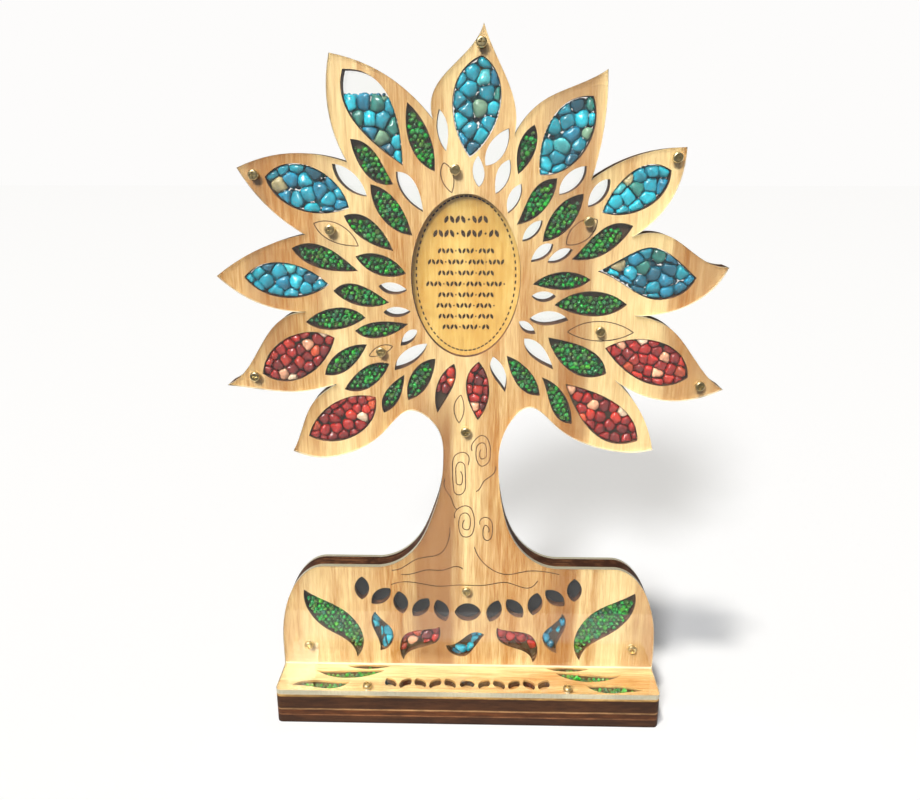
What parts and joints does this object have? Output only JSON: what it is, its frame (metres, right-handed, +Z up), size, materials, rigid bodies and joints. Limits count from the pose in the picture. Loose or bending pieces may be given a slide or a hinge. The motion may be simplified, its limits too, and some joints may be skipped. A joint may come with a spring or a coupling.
{
  "type": "tree of life table stand",
  "caption": "Flat tree-shaped stand of plywood boards between clear sheets, with leaf windows filled with stone chips and glass granules, an oval plaque, and a slotted stacked base.",
  "frame": {"origin": "centre of the base's underside", "axes": "+Z up along the tree, -Y the front face, +X to the right seen from the front"},
  "size_m": [0.1721, 0.045, 0.242],
  "materials": {
    "birch_plywood": "pale birch veneer, laser-cut edges charred brown, fine engraved strokes",
    "base_plywood": "plywood with charred laser-cut edges and pale veneer lines",
    "golden_plywood": "golden-yellow stained face with dark engraving",
    "clear_acrylic": "clear, polished, with bright cut edges",
    "black_card": "matt black",
    "brass": "pale polished brass",
    "turquoise_stone": "tumbled, polished turquoise-blue chips",
    "coral_stone": "tumbled coral-red chips, a few orange and pale ones",
    "green_glass": "small dark green glass granules"
  },
  "bodies": {
    "root": {"base_bottom_board": "base_plywood", "base_core_board": "base_plywood", "base_cover": "clear_acrylic", "base_floor_board": "base_plywood", "base_nuts": "brass", "base_screws": "brass", "base_window_board": "birch_plywood", "coral_left": "coral_stone", "coral_lower_left": "coral_stone", "coral_lower_right": "coral_stone", "coral_panel_left": "coral_stone", "coral_panel_right": "coral_stone", "coral_right": "coral_stone", "coral_trunk_left": "coral_stone", "coral_trunk_right": "coral_stone", "green_ledge_left": "green_glass", "green_ledge_right": "green_glass", "green_left_1": "green_glass", "green_left_10": "green_glass", "green_left_11": "green_glass", "green_left_12": "green_glass", "green_left_13": "green_glass", "green_left_2": "green_glass", "green_left_3": "green_glass", "green_left_4": "green_glass", "green_left_5": "green_glass", "green_left_6": "green_glass", "green_left_7": "green_glass", "green_left_8": "green_glass", "green_left_9": "green_glass", "green_panel_left": "green_glass", "green_panel_right": "green_glass", "green_right_1": "green_glass", "green_right_2": "green_glass", "green_right_3": "green_glass", "green_right_4": "green_glass", "green_right_5": "green_glass", "green_right_6": "green_glass", "green_right_7": "green_glass", "green_right_8": "green_glass", "green_right_9": "green_glass", "message_plaque": "golden_plywood", "ornament_backing": "black_card", "turquoise_left_middle": "turquoise_stone", "turquoise_left_upper": "turquoise_stone", "turquoise_panel_centre": "turquoise_stone", "turquoise_panel_left": "turquoise_stone", "turquoise_panel_right": "turquoise_stone", "turquoise_right_middle": "turquoise_stone", "turquoise_right_upper": "turquoise_stone", "turquoise_top": "turquoise_stone", "turquoise_upper_left": "turquoise_stone", "turquoise_upper_right": "turquoise_stone", "upright_back_cover": "clear_acrylic", "upright_face_board": "birch_plywood", "upright_front_cover": "clear_acrylic", "upright_nuts": "brass", "upright_rear_board": "birch_plywood", "upright_screws": "brass"}
  },
  "joints": []
}
